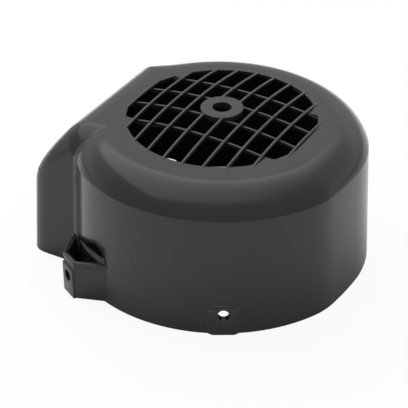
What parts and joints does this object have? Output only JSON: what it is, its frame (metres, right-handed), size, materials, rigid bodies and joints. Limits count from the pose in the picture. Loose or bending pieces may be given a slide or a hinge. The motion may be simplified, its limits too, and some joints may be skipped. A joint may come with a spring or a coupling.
{
  "type": "cooling fan cover",
  "caption": "Drum-shaped cooling fan cover in black plastic, with a domed air grille, rounded shoulder, side air duct and radial screw fixings.",
  "frame": {"origin": "centre of the hub hole, at the hub ring's top face", "axes": "+Z along the fan axis, out of the grille; +Y along the long grille bars, away from the screw fixings; the air duct bulges towards -X"},
  "size_m": [0.1802, 0.1747, 0.0905],
  "materials": {
    "shell": "satin",
    "grille": "satin"
  },
  "bodies": {
    "root": {"deck": "shell", "hub_ring": "grille", "duct_roof_upper": "shell", "duct_roof_middle": "shell", "duct_roof_lower": "shell", "duct_outer_wall": "shell", "duct_edge_top": "shell", "duct_edge_upper": "shell", "duct_edge_middle": "shell", "duct_edge_lower": "shell", "duct_edge_corner": "shell", "duct_front_wall": "shell", "duct_back_shoulder": "shell", "duct_back_wall": "shell", "lug_walls": "shell", "lug_lip": "shell", "lug_floor": "shell", "lug_screw_pad": "shell", "front_screw_pad": "shell", "shoulder_front": "shell", "shoulder_front_corner": "shell", "shoulder_side": "shell", "shoulder_rear_corner": "shell", "shoulder_back": "shell", "wall_front_left": "shell", "wall_front": "shell", "wall_front_right": "shell", "wall_front_corner": "shell", "wall_side": "shell", "wall_rear_corner": "shell", "wall_back": "shell", "long_bar_1": "grille", "long_bar_2": "grille", "long_bar_3": "grille", "long_bar_4": "grille", "long_bar_5": "grille", "long_bar_6": "grille", "long_bar_7": "grille", "long_bar_8": "grille", "long_bar_9": "grille", "long_bar_10": "grille", "cross_bar_1": "grille", "cross_bar_2": "grille", "cross_bar_3": "grille", "cross_bar_4": "grille"}
  },
  "joints": []
}
